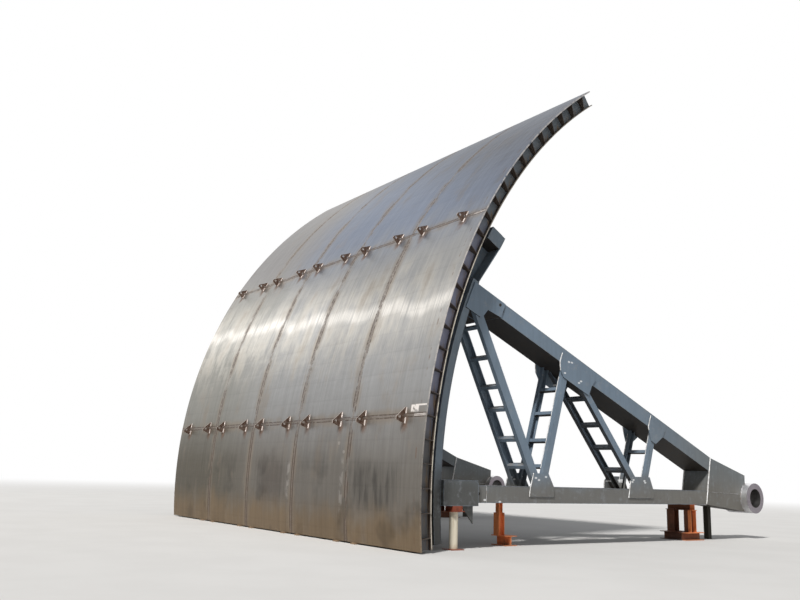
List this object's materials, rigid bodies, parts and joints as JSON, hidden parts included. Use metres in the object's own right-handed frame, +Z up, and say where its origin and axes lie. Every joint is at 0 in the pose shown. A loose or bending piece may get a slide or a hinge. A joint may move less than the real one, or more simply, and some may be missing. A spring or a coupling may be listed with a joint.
{
  "type": "radial gate",
  "caption": "Radial gate with a tall curved skin plate on ribs and curved girders, and two battened arms to bored trunnion hubs, on yard stands.",
  "frame": {"origin": "centre of the footprint at ground level", "axes": "+Z up; +X from the skin plate towards the trunnions, downstream; Y across the gate's width"},
  "size_m": [12.5828, 12.5, 10.794],
  "materials": {
    "skin_steel": "bare rolled plate with mill scale, streaks and rust at the seams",
    "girder_primer": "blue-grey shop primer, matt",
    "arm_primer": "blue-grey shop primer, matt",
    "machined_steel": "turned bare steel",
    "stand_red_primer": "rust-red primer, matt, worn",
    "stand_pale_paint": "pale worn paint"
  },
  "bodies": {
    "root": {"skin_lower": "skin_steel", "skin_middle": "skin_steel", "skin_upper": "skin_steel", "ribs_lower": "girder_primer", "ribs_middle": "girder_primer", "ribs_upper": "girder_primer", "stringer_right_outer": "girder_primer", "stringer_right_inner": "girder_primer", "stringer_left_inner": "girder_primer", "stringer_left_outer": "girder_primer", "edge_girder_right": "girder_primer", "edge_girder_left": "girder_primer", "arm_girder_right": "girder_primer", "arm_girder_left": "girder_primer", "main_girder_lower": "girder_primer", "main_girder_upper": "girder_primer", "cross_beam_top": "girder_primer", "lower_chord_right": "arm_primer", "lower_chord_left": "arm_primer", "upper_chord_right": "arm_primer", "upper_chord_left": "arm_primer", "gussets_right": "arm_primer", "gussets_left": "arm_primer", "diagonal_1_right": "arm_primer", "diagonal_2_right": "arm_primer", "diagonal_3_right": "arm_primer", "diagonal_4_right": "arm_primer", "diagonal_1_left": "arm_primer", "diagonal_2_left": "arm_primer", "diagonal_3_left": "arm_primer", "diagonal_4_left": "arm_primer", "trunnion_box_right": "arm_primer", "trunnion_box_left": "arm_primer", "trunnion_hub_right": "machined_steel", "trunnion_hub_left": "machined_steel", "joint_dogs_lower": "skin_steel", "joint_dogs_upper": "skin_steel", "sill_shims": "stand_red_primer", "pipe_stand_right": "stand_pale_paint", "pipe_stand_left": "stand_pale_paint", "beam_stand_right": "stand_red_primer", "beam_stand_left": "stand_red_primer", "trunnion_stand_right": "stand_red_primer", "trunnion_stand_left": "stand_red_primer"}
  },
  "joints": []
}
